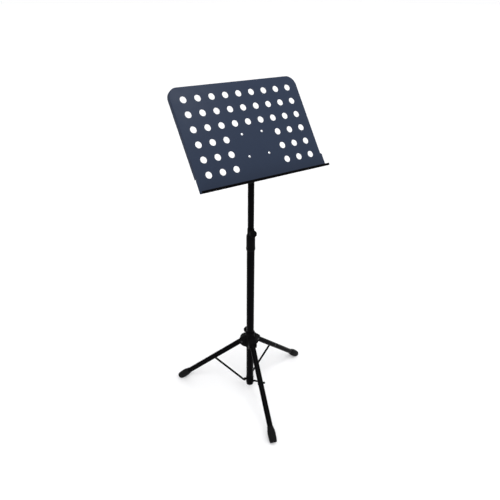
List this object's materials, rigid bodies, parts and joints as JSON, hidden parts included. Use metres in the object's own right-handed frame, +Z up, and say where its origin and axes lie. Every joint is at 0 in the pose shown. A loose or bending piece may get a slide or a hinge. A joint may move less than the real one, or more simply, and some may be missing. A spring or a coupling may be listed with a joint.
{
  "type": "music stand",
  "caption": "Folding orchestra music stand: perforated tilting steel desk with a ledge, telescopic mast with clamp knobs, and a tripod base with braces and rubber feet.",
  "frame": {"origin": "on the floor, on the mast's axis", "axes": "+Z up along the mast; the desk faces -Y; +X to the right of a player who faces the desk"},
  "size_m": [0.5429, 0.5239, 1.1867],
  "materials": {
    "desk_coat": "satin slate-blue powder coat",
    "black_coat": "satin black powder coat",
    "black_plastic": "moulded matt black",
    "foot_rubber": "matt black rubber",
    "zinc": "bright zinc plate",
    "zinc_black": "black plated steel",
    "brass_insert": "turned brass"
  },
  "bodies": {
    "mast": {"lower_tube": "black_coat", "lower_end_plug": "black_plastic", "brace_collar": "black_coat", "clutch_housing": "black_plastic", "clutch_nut": "brass_insert"},
    "hub": {"hub_body": "black_plastic", "hub_nut": "brass_insert", "leg_pins": "zinc_black"},
    "hub_knob": {"hub_knob": "black_plastic", "hub_screw": "zinc"},
    "clutch_knob": {"clutch_knob": "black_plastic", "clutch_screw": "zinc"},
    "guide_bush": {"guide_bush": "black_plastic"},
    "upper_mast": {"upper_tube": "black_coat", "upper_end_plug": "black_plastic", "tilt_head": "black_plastic", "head_rivet": "zinc"},
    "desk": {"desk_panel": "desk_coat", "desk_ledge": "black_coat", "tilt_bracket": "black_coat", "bracket_rivets": "zinc", "tilt_bolt": "zinc", "friction_washers": "black_plastic", "tilt_washer": "zinc"},
    "tilt_knob": {"tilt_knob": "black_plastic"},
    "leg_front": {"leg_knuckle_front": "black_plastic", "leg_tube_front": "black_coat", "rubber_foot_front": "foot_rubber", "brace_cap_front": "zinc_black"},
    "brace_front": {"brace_front": "black_coat", "brace_clip_front": "zinc_black"},
    "leg_right": {"leg_knuckle_right": "black_plastic", "leg_tube_right": "black_coat", "rubber_foot_right": "foot_rubber", "brace_cap_right": "zinc_black"},
    "brace_right": {"brace_right": "black_coat", "brace_clip_right": "zinc_black"},
    "leg_left": {"leg_knuckle_left": "black_plastic", "leg_tube_left": "black_coat", "rubber_foot_left": "foot_rubber", "brace_cap_left": "zinc_black"},
    "brace_left": {"brace_left": "black_coat", "brace_clip_left": "zinc_black"}
  },
  "joints": [
    {"name": "base_fold", "type": "slide", "parent": "mast", "child": "hub", "axis": [0, 0, 1], "range_m": [0, 0.10906]},
    {"name": "hub_knob_turn", "type": "hinge", "parent": "hub", "child": "hub_knob", "pos_m": [0.01099, 0.03323, 0.261], "axis": [0.314, 0.9494, 0], "range_deg": [0, 540]},
    {"name": "clutch_knob_turn", "type": "hinge", "parent": "mast", "child": "clutch_knob", "pos_m": [-0.00814, -0.02364, 0.705], "axis": [-0.3256, -0.9455, 0], "range_deg": [0, 540]},
    {"name": "height", "type": "slide", "parent": "mast", "child": "guide_bush", "axis": [0, 0, 1], "range_m": [-0.245, 0.2]},
    {"name": "swivel", "type": "hinge", "parent": "guide_bush", "child": "upper_mast", "pos_m": [0, 0, 0.395], "axis": [0, 0, 1], "continuous": true},
    {"name": "desk_tilt", "type": "hinge", "parent": "upper_mast", "child": "desk", "pos_m": [0, 0, 0.997], "axis": [1, 0, 0], "range_deg": [-55, 35]},
    {"name": "tilt_knob_turn", "type": "hinge", "parent": "desk", "child": "tilt_knob", "pos_m": [0.02, 0, 0.997], "axis": [1, 0, 0], "range_deg": [0, 540]},
    {"name": "leg_front_fold", "type": "hinge", "parent": "hub", "child": "leg_front", "pos_m": [-0.00942, -0.02848, 0.237], "axis": [0.9494, -0.314, 0], "range_deg": [0, 46.05]},
    {"name": "brace_front_fold", "type": "hinge", "parent": "mast", "child": "brace_front", "pos_m": [0.00036, -0.01961, 0.05], "axis": [-0.9494, 0.314, 0], "range_deg": [0, 45.78]},
    {"name": "leg_right_fold", "type": "hinge", "parent": "hub", "child": "leg_right", "pos_m": [0.02938, 0.00608, 0.237], "axis": [-0.2028, 0.9792, 0], "range_deg": [0, 46.05]},
    {"name": "brace_right_fold", "type": "hinge", "parent": "mast", "child": "brace_right", "pos_m": [0.0168, 0.01012, 0.05], "axis": [0.2028, -0.9792, 0], "range_deg": [0, 45.78]},
    {"name": "leg_left_fold", "type": "hinge", "parent": "hub", "child": "leg_left", "pos_m": [-0.01996, 0.0224, 0.237], "axis": [-0.7466, -0.6652, 0], "range_deg": [0, 46.05]},
    {"name": "brace_left_fold", "type": "hinge", "parent": "mast", "child": "brace_left", "pos_m": [-0.01716, 0.00949, 0.05], "axis": [0.7466, 0.6652, 0], "range_deg": [0, 45.78]}
  ],
  "couplings": [
    {"joint": "leg_front_fold", "follows": "base_fold", "rad_per_m": 7.3615},
    {"joint": "brace_front_fold", "follows": "base_fold", "rad_per_m": 7.3192},
    {"joint": "leg_right_fold", "follows": "base_fold", "rad_per_m": 7.3615},
    {"joint": "brace_right_fold", "follows": "base_fold", "rad_per_m": 7.3192},
    {"joint": "leg_left_fold", "follows": "base_fold", "rad_per_m": 7.3615},
    {"joint": "brace_left_fold", "follows": "base_fold", "rad_per_m": 7.3192}
  ]
}
